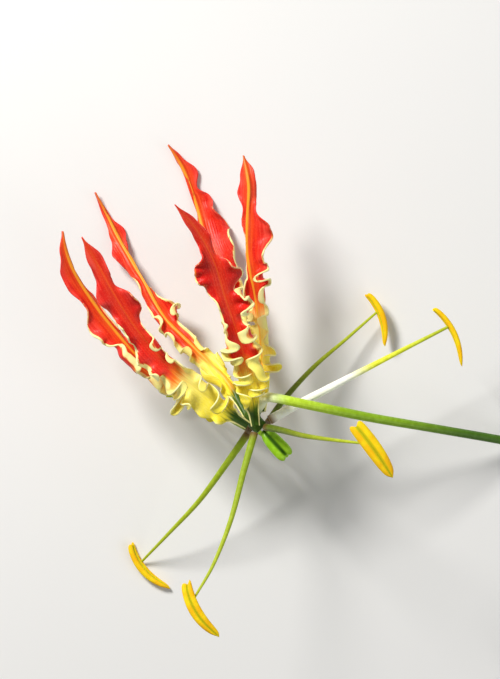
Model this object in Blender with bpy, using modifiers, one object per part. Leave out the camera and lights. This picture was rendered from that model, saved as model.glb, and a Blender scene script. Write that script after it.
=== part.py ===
"""A glory lily bloom, picked and laid on its side, with a length of its stalk.

Six wavy tepals sweep back from the heart of the flower, six filaments spread round a green
three-lobed ovary and each swings a long anther at its tip, and the style is bent back under
the bloom. The nodding stalk hooks round and leaves to the right.

Every length below is in millimetres. Places are measured from the heart of the flower, where
all its pieces meet: x to the right, y up the picture, z up from the heart.
"""

import math

import bmesh
import bpy
import numpy as np

MM = 0.001

# The heart above the middle of the surface that the bloom lies on.
HEART = (-11.94, -7.91, 20.0)
GAP = 0.3

# The flower's axis, from the heart towards the tip of the ovary.
AXIS = (0.68, -0.73, 0.0)

TEPAL_THICK = 0.7
PRESSED_THICK = 0.6
TEPAL_ROWS = 66
TEPAL_COLUMNS = 6
CLAW_REACH = 0.9
TIP_REACH = 0.35
MOST_BREADTH = 6.5
CLAW_FOLD = 38
CURL_POWER = 1.6

# Each tepal: the route of its midrib from claw to tip, its roll in degrees at even steps (0 turns
# the inner face up), the fold of its two halves towards the inner face, the face that it shows, and
# its two margins as seen in the picture. A margin is a list of crests: the share of the length,
# how far the margin reaches from the midrib, and how far it curls towards the inner face in degrees.
TEPALS = {
    "tepal_left_low": dict(
        shows="outer",
        route=[(-2.6, 0.3, -0.6), (-8, 2.2, -1.2), (-15, 5.2, -0.8), (-22.5, 11.2, 0), (-29.5, 19, 1),
               (-34.3, 27.3, 3), (-37.2, 33.4, 5), (-38.8, 38.6, 6.5)],
        roll=[-60, -90, -130, -150, -160, -160, -155],
        fold=14,
        left=[(0.04, 1.2, 10), (0.1, 1.8, -50), (0.15, 1.8, 90), (0.2, 2.8, -60), (0.25, 3.0, 70),
              (0.29, 1.6, -100), (0.34, 3.6, 40), (0.4, 2.2, -100), (0.44, 4.0, 60), (0.49, 5.0, -10),
              (0.53, 2.4, -90), (0.6, 4.6, 20), (0.66, 3.8, 60), (0.72, 2.8, -70), (0.8, 3.3, 10),
              (0.85, 2.6, 50), (0.92, 1.5, -20)],
        right=[(0.05, 1.0, 10), (0.15, 1.6, 60), (0.25, 2.0, -70), (0.35, 2.0, 80), (0.45, 1.6, -80),
               (0.55, 1.4, 80), (0.65, 1.3, -80), (0.75, 1.6, 60), (0.82, 1.2, -60), (0.9, 0.9, 30)],
    ),
    "tepal_left_front": dict(
        shows="inner",
        route=[(-2.0, 0.0, 1.9), (-7, 3.4, 4.4), (-12.5, 7.6, 6), (-18.8, 13, 8), (-24.2, 19.4, 10),
               (-28.4, 25.4, 12), (-32.3, 31.2, 14), (-35.4, 37.4, 15.5)],
        roll=[-25, -20, -15, -10, 0, 0, -10],
        fold=10,
        left=[(0.05, 1.0, 20), (0.12, 2.0, -60), (0.19, 3.0, 110), (0.26, 2.8, -90), (0.33, 3.4, 115),
              (0.4, 3.0, -90), (0.47, 3.8, 100), (0.54, 2.6, -90), (0.61, 2.0, 110), (0.68, 2.6, -60),
              (0.76, 3.4, 20), (0.83, 1.8, -60), (0.9, 1.4, 20)],
        right=[(0.05, 1.0, 20), (0.12, 1.6, -60), (0.2, 1.8, 115), (0.28, 1.5, -95), (0.36, 1.5, 110),
               (0.44, 1.4, -90), (0.52, 1.6, 100), (0.59, 1.4, -100), (0.66, 3.5, -20), (0.72, 2.9, 60),
               (0.78, 1.1, -80), (0.84, 1.2, 50), (0.9, 1.7, -10)],
    ),
    "tepal_left_back": dict(
        shows="outer",
        route=[(-2.0, 1.6, -2.1), (-6, 8.2, -5), (-13.2, 15.6, -9), (-19, 21.4, -12.2), (-22.8, 29, -15),
               (-27, 36.8, -18.2), (-30.5, 42.6, -19.7), (-33.2, 47.4, -18.8)],
        roll=[-160, -165, -170, -165, -160, -155, -160],
        fold=14,
        left=[(0.05, 0.9, 10), (0.13, 1.8, 60), (0.2, 3.4, -40), (0.27, 1.7, 100), (0.34, 2.6, -50),
              (0.42, 2.0, 90), (0.5, 2.2, -80), (0.57, 1.3, 95), (0.63, 2.2, -30), (0.69, 1.5, 85),
              (0.75, 3.2, -10), (0.82, 1.2, 60), (0.9, 0.9, -30)],
        right=[(0.05, 0.9, 10), (0.15, 1.1, -60), (0.24, 2.6, 60), (0.3, 1.4, -90), (0.36, 2.0, 80),
               (0.43, 2.0, -60), (0.5, 4.3, 20), (0.57, 2.6, 60), (0.64, 1.0, -95), (0.73, 0.8, 60),
               (0.79, 1.4, -60), (0.84, 2.4, 0), (0.9, 1.6, 20)],
    ),
    "tepal_right_back": dict(
        shows="outer",
        route=[(0.1, 2.3, -2.2), (-2.2, 9.6, -5.2), (-3.6, 17, -9.4), (-5.6, 25.6, -13.2), (-9, 34.2, -16.6),
               (-11, 39.8, -18.6), (-12.2, 44.3, -19.6), (-15.1, 52.1, -19.6), (-18.3, 57, -18.4)],
        roll=[170, 170, 170, 165, 160, 160, 165],
        fold=14,
        left=[(0.05, 0.9, 10), (0.15, 2.0, 50), (0.25, 2.4, -70), (0.35, 2.6, 80), (0.45, 2.4, -70),
              (0.55, 2.2, 80), (0.65, 1.3, -80), (0.74, 0.8, 60), (0.82, 0.7, -60), (0.9, 0.7, 30)],
        right=[(0.05, 0.9, 10), (0.14, 1.4, -60), (0.22, 2.4, 80), (0.3, 2.6, -70), (0.38, 3.0, 80),
               (0.46, 3.2, -70), (0.54, 3.0, 70), (0.6, 5.1, -20), (0.66, 4.9, 20), (0.71, 3.6, 80),
               (0.77, 3.7, -30), (0.82, 1.8, 60), (0.88, 2.2, 0), (0.94, 0.8, -20)],
    ),
    "tepal_front": dict(
        shows="inner",
        route=[(-0.5, -0.1, 2.7), (-1.4, 6.4, 4.3), (-2.2, 11.6, 6), (-4, 18, 8.4), (-6.6, 25.6, 11),
               (-8.8, 32.6, 13.6), (-12.2, 38.8, 16), (-16.2, 43.4, 18.2)],
        roll=[0, 5, 5, 5, 0, 5, 5],
        fold=10,
        left=[(0.04, 1.0, 10), (0.1, 1.6, 60), (0.16, 2.6, -60), (0.22, 2.8, 115), (0.28, 2.4, -80),
              (0.34, 4.0, 60), (0.41, 2.2, -90), (0.48, 1.9, 100), (0.54, 1.8, -60), (0.61, 3.6, -80),
              (0.66, 4.6, -40), (0.7, 4.2, -30), (0.75, 1.7, 100), (0.82, 1.4, -60), (0.9, 1.0, 30)],
        right=[(0.04, 1.0, 10), (0.1, 1.4, -60), (0.16, 2.4, 100), (0.22, 4.0, -60), (0.28, 3.6, 110),
               (0.34, 3.2, -80), (0.4, 2.2, 110), (0.45, 2.0, -80), (0.51, 4.7, 30), (0.57, 2.2, -90),
               (0.66, 5.2, -10), (0.72, 3.9, 50), (0.79, 1.9, -70), (0.87, 2.1, 0)],
    ),
    "tepal_right": dict(
        shows="outer",
        route=[(1, 2.6, -0.8), (1.5, 8.2, -1.8), (1.2, 16, -2.4), (0, 25, -1.8), (-1.8, 34, -0.6),
               (-1.9, 41.4, 0.6), (-1.7, 48, 1.4), (-2.8, 53.8, 0.2)],
        roll=[110, 115, 130, 145, 160, 165, 165],
        fold=12,
        left=[(0.05, 0.9, 10), (0.14, 1.6, 60), (0.22, 2.2, -70), (0.3, 2.4, 90), (0.38, 2.4, -80),
              (0.46, 2.4, 90), (0.54, 2.0, -80), (0.61, 1.5, 80), (0.67, 1.3, -80), (0.73, 1.6, 60),
              (0.79, 1.1, -70), (0.85, 2.6, 0), (0.92, 1.7, 20)],
        right=[(0.05, 0.9, 10), (0.12, 2.0, -60), (0.19, 2.8, 90), (0.26, 2.6, -80), (0.33, 2.7, 90),
               (0.4, 2.5, -80), (0.46, 3.0, 80), (0.52, 3.8, -60), (0.57, 2.4, 100), (0.62, 4.2, -40),
               (0.68, 4.9, 20), (0.73, 4.7, -10), (0.79, 1.8, -80), (0.85, 1.1, 60), (0.93, 1.4, 0)],
    ),
}

# Each stamen: the route of its filament from the heart, the way that its anther lies, the anther's
# length, the share of that length where it hangs from the filament, the way that its middle bows and
# how far, the turn of its two sacs from edge on to the bow in degrees, the radius of a sac, and the
# filament's own radius at its root and at its tip.
FILAMENT_POINTS = 11
SAC_APART = 0.9
STAMENS = {
    "left": dict(
        route=[(-1.9, -1.5, -1.4), (-6, -7.4, -4), (-11.8, -15.4, -8.4), (-18, -22.2, -13.2),
               (-23.7, -28.3, -19.15)],
        lie=(8.0, -9.4, 0.0),
        length=12.2,
        hang=0.38,
        bows=(-0.76, -0.65, 0.0),
        sag=1.6,
        turn=35,
        girth=0.62,
        root=0.78,
        tip=0.24,
    ),
    "lower": dict(
        route=[(-0.75, -1.6, 2.0), (-2.9, -9.2, 5), (-5.4, -18.6, 9), (-8.8, -27.2, 12),
               (-12.5, -33.6, 13.8)],
        lie=(6.4, -10.9, 1.0),
        length=12.6,
        hang=0.31,
        bows=(-0.7, -0.4, 0.6),
        sag=1.7,
        turn=-53,
        girth=0.68,
        root=0.78,
        tip=0.24,
    ),
    "front": dict(
        route=[(1.6, -0.4, 2.6), (4.4, -0.8, 8), (9.2, -1.8, 16), (15.2, -2.5, 22.5), (20.6, -3.0, 27.4)],
        lie=(7.2, -10, 0),
        length=12.7,
        hang=0.37,
        bows=(0.5, 0.36, 0.79),
        sag=0.4,
        turn=38,
        girth=0.9,
        root=0.76,
        tip=0.24,
    ),
    "right": dict(
        route=[(2.3, 1.0, 0.4), (7, 3.6, 0), (16, 8.3, -0.6), (27, 14, -1), (38.0, 19.6, -1)],
        lie=(5.6, -11.2, 0),
        length=12.9,
        hang=0.39,
        bows=(0.89, 0.45, 0),
        sag=1.5,
        turn=-15,
        girth=0.52,
        root=0.96,
        tip=0.3,
    ),
    "back": dict(
        route=[(1.9, 0.4, -2.0), (5.4, 5.2, -6), (11.4, 11.6, -11), (18, 17.2, -15), (24.2, 22.6, -17.2)],
        lie=(3.8, -10.6, 0),
        length=11.3,
        hang=0.41,
        bows=(0.94, 0.34, 0),
        sag=1.4,
        turn=-30,
        girth=0.58,
        root=0.68,
        tip=0.24,
    ),
    "under": dict(
        route=[(-1.6, -0.9, -3.2), (-6, 1.4, -7.8), (-12, 5.6, -12), (-17.4, 9.6, -14.8),
               (-21.4, 12.6, -16)],
        lie=(-8.6, 8.4, 0.3),
        length=12.0,
        hang=0.36,
        bows=(-0.35, -0.3, -0.9),
        sag=1.1,
        turn=0,
        girth=0.62,
        root=0.76,
        tip=0.24,
    ),
}

# The stalk: from the heart it hooks round between two tepals, then leaves to the right and down
# to the surface. It is swollen at the heart.
STALK_ROUTE = [(0.7, -0.75, 0), (-0.9, 1.0, -0.1), (-1.0, 2.6, 0.4), (0.4, 4.3, 1.8), (1.7, 5.5, 3.8),
               (3.8, 5.4, 5.4), (9.5, 4.2, 4.4), (21.8, 1.6, -1.2), (34.1, -0.6, -7.4), (46.4, -2.8, -14),
               (56, -4.6, -18.95), (63, -5.8, -19.45)]
STALK_RADII = (1.5, 1.62, 1.0, 0.95, 0.95, 0.95, 0.95, 0.95, 0.92, 0.9, 0.9, 0.88, 0.88, 0.88, 0.88, 0.88,
               0.88, 0.88, 0.88, 0.88, 0.88)
STALK_POINTS = 36

OVARY_LENGTH = 8.0
OVARY_START = 1.45
OVARY_TURN = -90.0
LOBE_RADIUS = 0.98
LOBE_OFFSET = 0.92

STYLE_RADIUS = 0.5
STYLE_TIP_RADIUS = 0.4
STYLE_ROUTE = [(5.4, -5.9, -2.4), (5.0, -5.6, -4.8), (3.2, -4.2, -8.4), (-0.6, -1, -11.4), (-5.6, 2, -13.4),
               (-10.4, 4.4, -15), (-14.6, 6.2, -15.8)]
STIGMA_LENGTH = 4.2
STIGMA_RADIUS = 0.32
STIGMA_SPREAD = 32.0

COLOURS = {
    "tepal": ((0.86, 0.09, 0.04), 0.45),
    "filament": ((0.52, 0.68, 0.08), 0.5),
    "anther": ((0.93, 0.62, 0.02), 0.7),
    "stalk": ((0.22, 0.42, 0.04), 0.5),
    "ovary": ((0.3, 0.62, 0.04), 0.4),
    "style": ((0.45, 0.62, 0.12), 0.5),
}


def clear_scene():
    for old in list(bpy.data.objects):
        bpy.data.objects.remove(old, do_unlink=True)


def unit(vector):
    vector = np.asarray(vector, float)
    return vector / np.linalg.norm(vector, axis=-1, keepdims=True)


def smooth_route(points, shares):
    """A rounded curve through the points, at these shares of its length."""
    points = np.array(points, float)
    padded = np.vstack([2 * points[0] - points[1], points, 2 * points[-1] - points[-2]])
    steps = np.linspace(0, 1, 24, endpoint=False)[:, None]
    fine = []
    for before, start, end, after in zip(padded, padded[1:], padded[2:], padded[3:]):
        fine.append(
            0.5 * (2 * start + (end - before) * steps
                   + (2 * before - 5 * start + 4 * end - after) * steps**2
                   + (3 * start - before - 3 * end + after) * steps**3)
        )
    fine = np.vstack(fine + [points[-1:]])
    along = np.concatenate([[0], np.cumsum(np.linalg.norm(np.diff(fine, axis=0), axis=1))])
    return np.stack([np.interp(np.asarray(shares) * along[-1], along, fine[:, k]) for k in range(3)], axis=1)


def eased(positions, values, shares):
    """Values joined by half cosines, so that each is a crest or a trough."""
    place = np.interp(shares, positions, np.arange(len(positions)))
    low = np.clip(np.floor(place).astype(int), 0, len(positions) - 2)
    mix = 0.5 - 0.5 * np.cos(np.pi * (place - low))
    values = np.asarray(values, float)
    return values[low] * (1 - mix) + values[low + 1] * mix


def margin_profile(crests, shares, fold):
    """A margin's breadth along the blade's surface and its curl in radians, at each share of the length."""
    ends = [(0, CLAW_REACH, 0)] + list(crests) + [(1, TIP_REACH, 0)]
    places, reaches, curls = (np.array(column, float) for column in zip(*ends))
    reach = eased(places, reaches, shares)
    curl = np.radians(eased(places, curls, shares))
    steps = np.linspace(0, 1, 21)
    middles = 0.5 * (steps[1:] + steps[:-1])
    turn = fold[:, None] * (1 - middles) + curl[:, None] * middles**CURL_POWER
    furthest = np.cumsum(np.cos(turn) / 20, axis=1).max(axis=1)
    return np.minimum(reach / furthest, MOST_BREADTH), curl


def tepal_points(shape, rows, columns):
    """The middle surface of a tepal as rows of points from one margin to the other."""
    shares = np.linspace(0, 1, rows + 1)
    middle = smooth_route(shape["route"], shares)
    along = unit(np.gradient(middle, axis=0))
    up = np.array([0.0, 0.0, 1.0])
    face_up = unit(up - (along @ up)[:, None] * along)
    rightward = np.cross(along, face_up)
    roll = np.radians(np.interp(shares, np.linspace(0, 1, len(shape["roll"])), shape["roll"]))[:, None]
    inner = np.cos(roll) * face_up + np.sin(roll) * rightward
    across = np.cross(along, inner)
    folds = [CLAW_FOLD, CLAW_FOLD, shape["fold"], shape["fold"]]
    fold = np.radians(np.interp(shares, [0, 0.1, 0.3, 1], folds))
    half = columns // 2
    steps = np.linspace(0, 1, half + 1)
    surface = np.zeros((rows + 1, columns + 1, 3))
    surface[:, half] = middle
    seen = 1 if shape["shows"] == "inner" else -1
    for side, crests in ((-seen, shape["left"]), (seen, shape["right"])):
        breadth, curl = margin_profile(crests, shares, fold)
        aside = np.zeros(rows + 1)
        raised = np.zeros(rows + 1)
        for step in range(1, half + 1):
            centre = 0.5 * (steps[step - 1] + steps[step])
            turn = fold * (1 - centre) + curl * centre**CURL_POWER
            aside += breadth / half * np.cos(turn)
            raised += breadth / half * np.sin(turn)
            moved = side * aside[:, None] * across + raised[:, None] * inner
            surface[:, half + side * step] = middle + moved
    surface[..., 2] = np.maximum(surface[..., 2], PRESSED_THICK - TEPAL_THICK / 2 - HEART[2])
    return surface


def in_scene(points):
    """Points in millimetres from the heart, as metres from the origin."""
    return (np.asarray(points) + np.array(HEART)) * MM


def new_object(name, mesh, collection, material):
    made = bpy.data.objects.new(name, mesh)
    collection.objects.link(made)
    mesh.materials.clear()
    mesh.materials.append(material)
    return made


def build_material(name):
    colour, roughness = COLOURS[name]
    material = bpy.data.materials.new(name)
    material.use_nodes = True
    shader = material.node_tree.nodes["Principled BSDF"]
    shader.inputs["Base Color"].default_value = (*colour, 1)
    shader.inputs["Roughness"].default_value = roughness
    shader.inputs["Metallic"].default_value = 0
    return material


def press_flat(solid):
    """Where a piece lies on the surface, it is pressed flat against it."""
    for corner in solid.data.vertices:
        corner.co.z = max(corner.co.z, 0.0)


def evaluated_mesh(made, name):
    """The mesh of an object with its modifiers applied, or of a curve with its bevel."""
    bpy.context.view_layer.update()
    graph = bpy.context.evaluated_depsgraph_get()
    mesh = bpy.data.meshes.new_from_object(made.evaluated_get(graph))
    mesh.name = name
    return mesh


def build_tepal(name, shape, collection, material):
    """A flat grid bent into the wavy blade, then given its thickness."""
    surface = in_scene(tepal_points(shape, TEPAL_ROWS, TEPAL_COLUMNS))
    grid = bmesh.new()
    bmesh.ops.create_grid(grid, x_segments=TEPAL_COLUMNS, y_segments=TEPAL_ROWS, size=1)
    for corner in grid.verts:
        column = round((corner.co.x + 1) / 2 * TEPAL_COLUMNS)
        row = round((corner.co.y + 1) / 2 * TEPAL_ROWS)
        corner.co = surface[row, column]
    bmesh.ops.triangulate(grid, faces=grid.faces[:], quad_method="SHORT_EDGE")
    mesh = bpy.data.meshes.new(name)
    grid.to_mesh(mesh)
    grid.free()
    blade = new_object(name, mesh, collection, material)
    solidify = blade.modifiers.new("Thickness", "SOLIDIFY")
    solidify.thickness = TEPAL_THICK * MM
    solidify.offset = 0
    solidify.use_even_offset = False
    thick = evaluated_mesh(blade, name)
    blade.modifiers.remove(solidify)
    blade.data = thick
    press_flat(blade)
    return blade


def build_rod(name, route, radii, points, collection, material):
    """A tapering round rod: a curve with a bevel, thinned along its points."""
    shares = np.linspace(0, 1, points)
    centres = in_scene(smooth_route(route, shares))
    thickest = max(radii)
    curve = bpy.data.curves.new(name, "CURVE")
    curve.dimensions = "3D"
    curve.bevel_depth = thickest * MM
    curve.bevel_resolution = 1
    curve.use_fill_caps = True
    spline = curve.splines.new("POLY")
    spline.points.add(points - 1)
    radius = np.interp(shares, np.linspace(0, 1, len(radii)), radii) / thickest
    for point, centre, share in zip(spline.points, centres, radius):
        point.co = (*centre, 1)
        point.radius = share
    guide = bpy.data.objects.new(name, curve)
    collection.objects.link(guide)
    mesh = evaluated_mesh(guide, name)
    bpy.data.objects.remove(guide, do_unlink=True)
    body = bmesh.new()
    body.from_mesh(mesh)
    bmesh.ops.remove_doubles(body, verts=body.verts[:], dist=1e-6)
    bmesh.ops.recalc_face_normals(body, faces=body.faces[:])
    body.to_mesh(mesh)
    body.free()
    rod = new_object(name, mesh, collection, material)
    press_flat(rod)
    return rod


def build_stalk(collection, material):
    """The flower stalk, swollen at the heart into the receptacle that carries every other piece."""
    return build_rod("stalk", STALK_ROUTE, STALK_RADII, STALK_POINTS, collection, material)


def lobed_radius(turn, lobes, offset, radius):
    """The outline of round lobes set about a middle, at this turn from the first."""
    sector = 2 * math.pi / lobes
    aside = (turn + sector / 2) % sector - sector / 2
    across = min(abs(offset * math.sin(aside)), radius)
    return offset * math.cos(aside) + math.sqrt(radius**2 - across**2)


def build_lobed(name, base, frame, shape, segments, rings, collection, material):
    """A sphere drawn out along the frame's last axis, with lobes raised round it by a formula."""
    side, other, way = (np.asarray(axis) for axis in frame)
    body = bmesh.new()
    bmesh.ops.create_uvsphere(body, u_segments=segments, v_segments=rings, radius=1)
    for corner in body.verts:
        share = (corner.co.z + 1) / 2
        turn = math.atan2(corner.co.y, corner.co.x)
        fullness = max(0.0, 1 - abs(corner.co.z) ** shape["blunt"]) ** 0.5
        radius = shape["radius"](share)
        reach = lobed_radius(turn, shape["lobes"], shape["offset"](share), radius) * fullness
        placed = share * shape["length"] + shape["dent"](share) * (1 - fullness) ** 2
        lift = shape["sag"] * (1 - (2 * share - 1) ** 2)
        aside = math.cos(turn + shape["turn"]) * reach
        bowed = math.sin(turn + shape["turn"]) * reach + lift
        corner.co = in_scene(np.asarray(base) + side * aside + other * bowed + way * placed)
    mesh = bpy.data.meshes.new(name)
    body.to_mesh(mesh)
    body.free()
    solid = new_object(name, mesh, collection, material)
    press_flat(solid)
    return solid


def build_anther(name, stamen, collection, material):
    """An anther hung from the tip of its filament: two pollen sacs side by side, notched at one end."""
    end = np.array(stamen["route"][-1], float)
    lie = unit(stamen["lie"])
    way = np.array(stamen["bows"], float)
    bow = unit(way - (way @ lie) * lie)
    side = np.cross(bow, lie)
    hang = stamen["hang"]
    girth = stamen["girth"]
    turned = math.radians(stamen["turn"])
    back = lobed_radius(-math.pi / 2 - turned, 2, SAC_APART * girth, girth)
    lift = stamen["sag"] * (1 - (2 * hang - 1) ** 2)
    base = end + bow * (back + GAP - lift) - lie * hang * stamen["length"]
    shape = dict(
        lobes=2, length=stamen["length"], sag=stamen["sag"], turn=turned, blunt=14,
        radius=lambda s: girth * (1 - 0.14 * (1 - s) ** 3 - 0.5 * s**4),
        offset=lambda s: SAC_APART * girth * (1 - 0.14 * (1 - s) ** 3 - 0.5 * s**4),
        dent=lambda s: 1.7 if s < 0.5 else 0.5,
    )
    return build_lobed(name, base, (side, bow, lie), shape, 12, 14, collection, material)


def build_ovary(collection, material):
    """The green ovary: three long lobes, parted at their tips."""
    way = unit(AXIS)
    up = np.array([0.0, 0.0, 1.0])
    side = unit(np.cross(way, up))
    shape = dict(
        lobes=3, length=OVARY_LENGTH, sag=0.0, turn=0.0, blunt=4,
        offset=lambda s: LOBE_OFFSET * (0.6 + 0.75 * s),
        radius=lambda s: LOBE_RADIUS * (0.82 + 0.9 * s * (1 - s) - 0.1 * s),
        dent=lambda s: -1.5 if s > 0.5 else 0.0,
    )
    base = way * OVARY_START
    turned = math.radians(OVARY_TURN)
    first = math.cos(turned) * side + math.sin(turned) * up
    second = np.cross(way, first)
    return build_lobed("ovary", base, (first, second, way), shape, 24, 12, collection, material)


def build_style(collection, material):
    """The style, bent sharply back under the bloom, with its three stigma arms joined to it."""
    style = build_rod("style", STYLE_ROUTE, (STYLE_RADIUS, STYLE_TIP_RADIUS), 14, collection, material)
    end = np.array(STYLE_ROUTE[-1], float)
    way = unit(end - np.array(STYLE_ROUTE[-2], float))
    across = unit(np.cross(way, (0, 0, 1)))
    arms = bpy.data.collections.new("Stigma arms")
    bpy.context.scene.collection.children.link(arms)
    for number, lean in enumerate((-1, 0, 1)):
        spread = math.radians(STIGMA_SPREAD) * lean
        tip = end + STIGMA_LENGTH * (math.cos(spread) * way + math.sin(spread) * across)
        tip[2] = end[2] + 0.5 * (1 - abs(lean))
        middle = (end + tip) / 2 + 0.3 * lean * across
        build_rod(f"arm_{number}", [end - 0.7 * way, middle, tip],
                  (STIGMA_RADIUS, STIGMA_RADIUS, STIGMA_RADIUS * 0.7), 6, arms, material)
    join = style.modifiers.new("Arms", "BOOLEAN")
    join.operation = "UNION"
    join.operand_type = "COLLECTION"
    join.collection = arms
    whole = evaluated_mesh(style, "style")
    style.modifiers.remove(join)
    style.data = whole
    for arm in list(arms.objects):
        bpy.data.objects.remove(arm, do_unlink=True)
    bpy.data.collections.remove(arms)
    return style


def main():
    clear_scene()
    collection = bpy.data.collections.new("Glory lily")
    bpy.context.scene.collection.children.link(collection)
    materials = {name: build_material(name) for name in COLOURS}
    for name, shape in TEPALS.items():
        build_tepal(name, shape, collection, materials["tepal"])
    for name, stamen in STAMENS.items():
        build_rod(f"filament_{name}", stamen["route"], (stamen["root"], stamen["tip"]),
                  FILAMENT_POINTS, collection, materials["filament"])
        build_anther(f"anther_{name}", stamen, collection, materials["anther"])
    build_stalk(collection, materials["stalk"])
    build_ovary(collection, materials["ovary"])
    build_style(collection, materials["style"])


main()
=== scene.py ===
"""A glory lily bloom, picked and laid on a pale surface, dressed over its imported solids.

The routes and margins of the pieces are in millimetres from the heart of the flower, where all of
them meet: x to the right, y up the picture, z up from the heart.
"""

import math

import bpy
import numpy as np
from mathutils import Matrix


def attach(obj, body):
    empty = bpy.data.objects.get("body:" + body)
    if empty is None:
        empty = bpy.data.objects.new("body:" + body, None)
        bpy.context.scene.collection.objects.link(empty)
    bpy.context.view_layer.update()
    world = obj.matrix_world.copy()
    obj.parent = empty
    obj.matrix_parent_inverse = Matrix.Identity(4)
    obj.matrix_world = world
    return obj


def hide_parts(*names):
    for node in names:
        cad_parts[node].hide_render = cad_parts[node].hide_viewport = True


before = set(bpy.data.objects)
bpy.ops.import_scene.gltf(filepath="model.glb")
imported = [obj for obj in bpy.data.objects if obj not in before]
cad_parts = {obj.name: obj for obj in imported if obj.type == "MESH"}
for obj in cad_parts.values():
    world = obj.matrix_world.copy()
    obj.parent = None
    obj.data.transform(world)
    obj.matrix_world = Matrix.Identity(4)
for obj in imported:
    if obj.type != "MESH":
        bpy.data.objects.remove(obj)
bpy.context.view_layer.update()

bl_info = {
    "name": "Glory Lily",
    "version": (1, 0, 0),
    "blender": (4, 5, 0),
    "location": "View3D > Sidebar > Glory Lily",
    "description": "Builds a picked glory lily bloom with ruffled red and yellow tepals",
    "category": "Add Mesh",
}

MM = 0.001

# The heart of the flower from the frame's origin, the way that the ovary points from it, and up.
HEART = np.array((-11.94, -7.91, 20.0))
OVARY_WAY = np.array((0.68, -0.73, 0.0))
UP = np.array((0.0, 0.0, 1.0))

# Half the breadth of a tepal at its claw and its tip, and the most between them. The fold of the claw
# in degrees, and the shares of the length between which it eases into the fold of the blade.
CLAW_REACH = 0.9
TIP_REACH = 0.12
MOST_BREADTH = 6.5
CLAW_FOLD = 38
CLAW_ENDS = 0.1
BLADE_BEGINS = 0.3

# How a margin curls: the power by which the curl gathers at the margin, the steps that measure how far
# it reaches, how much of the broad curl the close ruffles take over, and how often the breadth of a
# blade and the run of its midrib are smoothed.
CURL_POWER = 1.6
CURL_STEPS = 40
CURL_TAKEN = 0.35
BREADTH_PASSES = 6
MIDRIB_PASSES = 30

# Where the ruffles of a tepal start, as a share of a wave: a step for each tepal and one for each side.
TEPAL_START = 0.37
SIDE_START = 0.21

# The thickness of a blade between its margin at 0 and its keel at 1: the keel's half width in
# millimetres, how full it is at these shares of the length, how much it adds, and how full the blade
# is at these shares of its half breadth.
KEEL_WIDTH = 0.28
KEEL_SHARES = (0, 0.9, 1)
KEEL_FULLNESS = (1, 0.7, 0.2)
KEEL_ADDS = 0.7
BODY_SHARES = (0, 0.5, 0.9, 1)
BODY_FULLNESS = (0.3, 0.22, 0.1, 0.02)

# How far apart the patterns of two tepals lie in their noise, in millimetres.
PATTERN_APART = 7.3

# The close ruffles of a margin: waves over the whole length, their curl and lean in degrees, how far
# they drift from an even beat, in how many slow and quick waves, and how much further on the quick ones
# start, how far their crests are rounded in millimetres, and how strong they are at these shares of
# the length.
RUFFLE_TURNS = 9.5
RUFFLE_CURL = 115.0
RUFFLE_LEAN = 75.0
RUFFLE_DRIFT = 0.28
SLOW_DRIFTS = 2.7
QUICK_DRIFTS = 6.1
QUICK_START = 2.3
RUFFLE_ROUNDING = 0.45
RUFFLE_SHARES = (0.07, 0.14, 0.45, 0.62, 0.8, 1.0)
RUFFLE_FORCES = (0.0, 1.0, 1.0, 0.22, 0.06, 0.0)

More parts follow.
